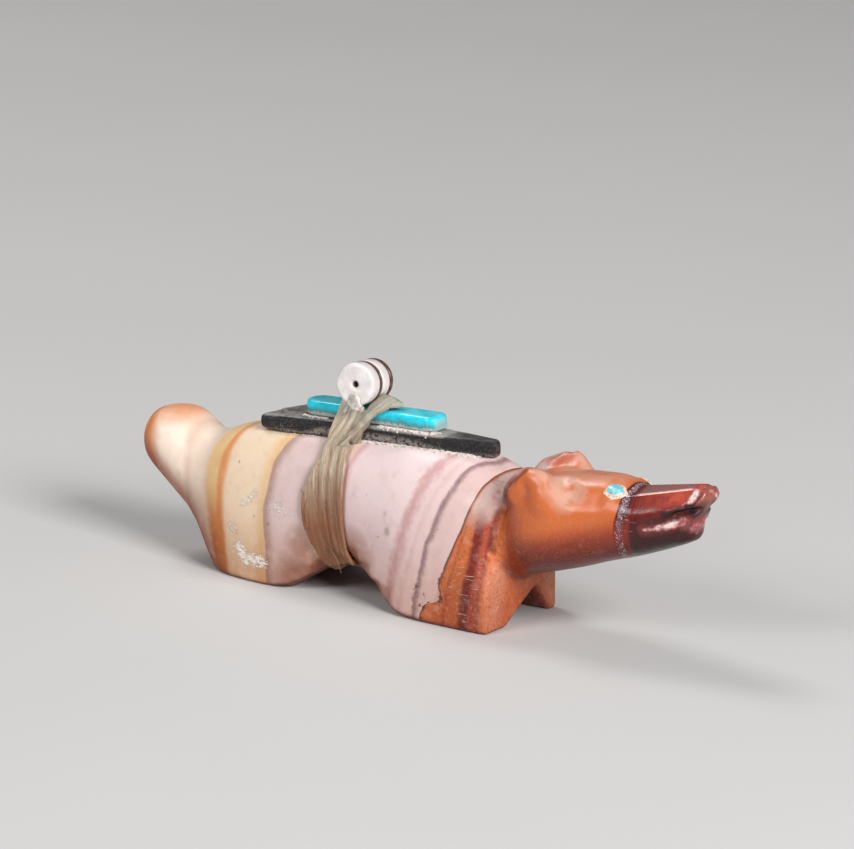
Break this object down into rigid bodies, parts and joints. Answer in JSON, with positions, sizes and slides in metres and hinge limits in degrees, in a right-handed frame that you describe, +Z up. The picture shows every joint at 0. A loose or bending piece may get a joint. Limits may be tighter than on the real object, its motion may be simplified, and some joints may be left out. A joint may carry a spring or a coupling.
{
  "type": "zuni fetish",
  "caption": "Small standing animal carved from banded stone, with inlaid eyes and a stone point, turquoise and shell beads bound on its back with sinew.",
  "frame": {"origin": "on the ground the animal stands on, under the middle of its bounding box", "axes": "+X along the body towards the nose, +Y towards the animal's left side, +Z up"},
  "size_m": [0.0598, 0.011, 0.0205],
  "materials": {
    "banded_stone": "polished travertine in cream, pink, mauve, orange and maroon bands, with fine scratches and pits",
    "eye_inlay": "polished pale turquoise with a pale glue rim",
    "black_stone": "polished top with dusty matte sides",
    "turquoise": "satin polish with whitish dust low on the sides",
    "white_shell": "polished white shell",
    "brown_shell": "polished dark brown shell",
    "sinew": "waxy translucent fibres, darker and speckled below"
  },
  "bodies": {
    "root": {"stone_animal": "banded_stone", "eye_right": "eye_inlay", "eye_left": "eye_inlay", "black_point": "black_stone", "turquoise_slab": "turquoise", "shell_bead_near": "white_shell", "brown_bead_middle": "brown_shell", "shell_bead_far": "white_shell", "brown_bead_far": "brown_shell", "sinew_wrap": "sinew"}
  },
  "joints": []
}
